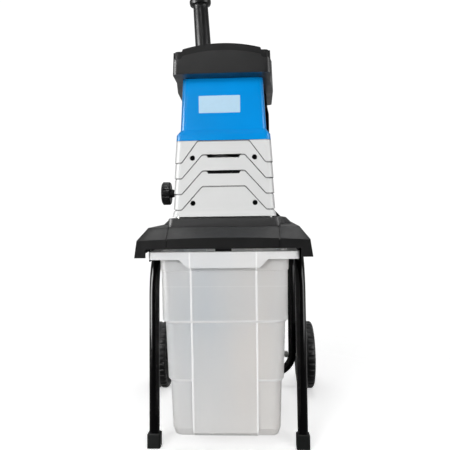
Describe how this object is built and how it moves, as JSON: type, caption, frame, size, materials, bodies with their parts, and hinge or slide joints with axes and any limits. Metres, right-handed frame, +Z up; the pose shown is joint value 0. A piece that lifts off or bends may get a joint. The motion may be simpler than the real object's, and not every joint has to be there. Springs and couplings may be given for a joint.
{
  "type": "wood chipper",
  "caption": "Electric roller wood chipper on a two-wheeled tube frame, with hopper, push stick, cutting drum, gearbox and sliding catch box.",
  "frame": {"origin": "on the ground, in the middle of the machine's overall length and width", "axes": "+X to the right seen from the front, +Y to the rear where the wheels are, +Z up"},
  "size_m": [0.49, 0.648, 1.1018],
  "materials": {
    "frame_paint": "gloss black powder coat",
    "foot_rubber": "matt",
    "wheel_plastic": "ribbed, satin",
    "tray_plastic": "fine spark texture",
    "hopper_plastic": "fine spark texture",
    "smooth_black": "smooth moulded",
    "silver_plastic": "satin",
    "blue_plastic": "smooth gloss",
    "label_film": "printed film, blank",
    "clear_plastic": "milky translucent",
    "zinc_steel": "zinc plated",
    "hard_steel": "ground",
    "cast_alloy": "as cast",
    "stator_steel": "stacked sheet with varnished copper ends",
    "red_plastic": "smooth",
    "green_plastic": "smooth"
  },
  "bodies": {
    "machine": {"side_tube_right": "frame_paint", "side_tube_left": "frame_paint", "rear_axle_tube": "frame_paint", "transport_handle": "frame_paint", "foot_cap_right": "foot_rubber", "foot_cap_left": "foot_rubber", "base_tray": "tray_plastic", "motor_plinth": "tray_plastic", "hopper_hood": "hopper_plastic", "hopper_liner": "smooth_black", "rear_housing": "smooth_black", "interlock_switch": "smooth_black", "box_rail_right": "smooth_black", "box_rail_left": "smooth_black", "control_box": "smooth_black", "power_inlet": "smooth_black", "discharge_chute": "smooth_black", "run_capacitor": "smooth_black", "hub_spacers": "smooth_black", "motor_cover": "silver_plastic", "upper_cover": "blue_plastic", "label_plate": "label_film", "axle_bolts": "zinc_steel", "axle_nuts": "zinc_steel", "frame_screws": "zinc_steel", "cover_screws": "zinc_steel", "hopper_screws": "zinc_steel", "mounting_plate": "zinc_steel", "bearing_cover": "zinc_steel", "drum_bearings": "hard_steel", "idler_bearings": "hard_steel", "motor_bearings": "hard_steel", "chamber_housing": "cast_alloy", "gear_case": "cast_alloy", "motor_bell_front": "cast_alloy", "motor_bell_rear": "cast_alloy", "motor_stator": "stator_steel"},
    "wheel_right": {"wheel_right": "wheel_plastic", "hub_cap_right": "wheel_plastic"},
    "wheel_left": {"wheel_left": "wheel_plastic", "hub_cap_left": "wheel_plastic"},
    "catch_box": {"collection_box": "clear_plastic"},
    "latch": {"box_latch": "smooth_black"},
    "push_stick": {"pusher": "smooth_black"},
    "knob": {"adjust_knob": "smooth_black", "adjust_spindle": "hard_steel"},
    "plate": {"pressure_plate": "cast_alloy"},
    "drum": {"cutting_drum": "hard_steel", "drum_shaft": "hard_steel", "drum_gear": "hard_steel"},
    "idler": {"idler_shaft": "hard_steel", "idler_gear": "hard_steel"},
    "rotor": {"motor_shaft": "hard_steel", "rotor_core": "hard_steel", "cooling_fan": "smooth_black"},
    "start_key": {"start_button": "green_plastic"},
    "stop_key": {"stop_button": "red_plastic"},
    "reset_key": {"reset_button": "smooth_black"},
    "selector": {"direction_switch": "smooth_black"}
  },
  "joints": [
    {"name": "wheel_right_spin", "type": "hinge", "parent": "machine", "child": "wheel_right", "pos_m": [0.219, 0.224, 0.1], "axis": [1, 0, 0], "continuous": true},
    {"name": "wheel_left_spin", "type": "hinge", "parent": "machine", "child": "wheel_left", "pos_m": [-0.219, 0.224, 0.1], "axis": [1, 0, 0], "continuous": true},
    {"name": "box_slide", "type": "slide", "parent": "machine", "child": "catch_box", "axis": [0, -1, 0], "range_m": [0, 0.42]},
    {"name": "latch_slide", "type": "slide", "parent": "machine", "child": "latch", "axis": [0, 0, -1], "range_m": [0, 0.006]},
    {"name": "pusher_slide", "type": "slide", "parent": "machine", "child": "push_stick", "axis": [-0.0523, 0, 0.9986], "range_m": [0, 0.4]},
    {"name": "knob_turn", "type": "hinge", "parent": "machine", "child": "knob", "pos_m": [-0.16, -0.018, 0.591], "axis": [1, 0, 0], "range_deg": [0, 480]},
    {"name": "plate_slide", "type": "slide", "parent": "machine", "child": "plate", "axis": [1, 0, 0], "range_m": [0, 0.00201]},
    {"name": "rotor_spin", "type": "hinge", "parent": "machine", "child": "rotor", "pos_m": [-0.0085, -0.17, 0.60787], "axis": [0, 1, 0], "continuous": true},
    {"name": "idler_spin", "type": "hinge", "parent": "machine", "child": "idler", "pos_m": [-0.04562, -0.095, 0.64499], "axis": [0, 1, 0], "continuous": true},
    {"name": "drum_spin", "type": "hinge", "parent": "machine", "child": "drum", "pos_m": [0.008, -0.017, 0.6], "axis": [0, 1, 0], "continuous": true},
    {"name": "start_press", "type": "slide", "parent": "machine", "child": "start_key", "axis": [0, -1, 0], "range_m": [0, 0.004], "stiffness_N_per_m": 400},
    {"name": "stop_press", "type": "slide", "parent": "machine", "child": "stop_key", "axis": [0, -1, 0], "range_m": [0, 0.004], "stiffness_N_per_m": 400},
    {"name": "reset_press", "type": "slide", "parent": "machine", "child": "reset_key", "axis": [0, -1, 0], "range_m": [0, 0.003], "stiffness_N_per_m": 400},
    {"name": "selector_turn", "type": "hinge", "parent": "machine", "child": "selector", "pos_m": [0, 0.166, 0.706], "axis": [0, 1, 0], "range_deg": [-45, 45]}
  ],
  "couplings": [
    {"joint": "plate_slide", "follows": "knob_turn", "m_per_rad": 0.00023873},
    {"joint": "idler_spin", "follows": "rotor_spin", "ratio": -0.25},
    {"joint": "drum_spin", "follows": "rotor_spin", "ratio": 0.0625}
  ]
}
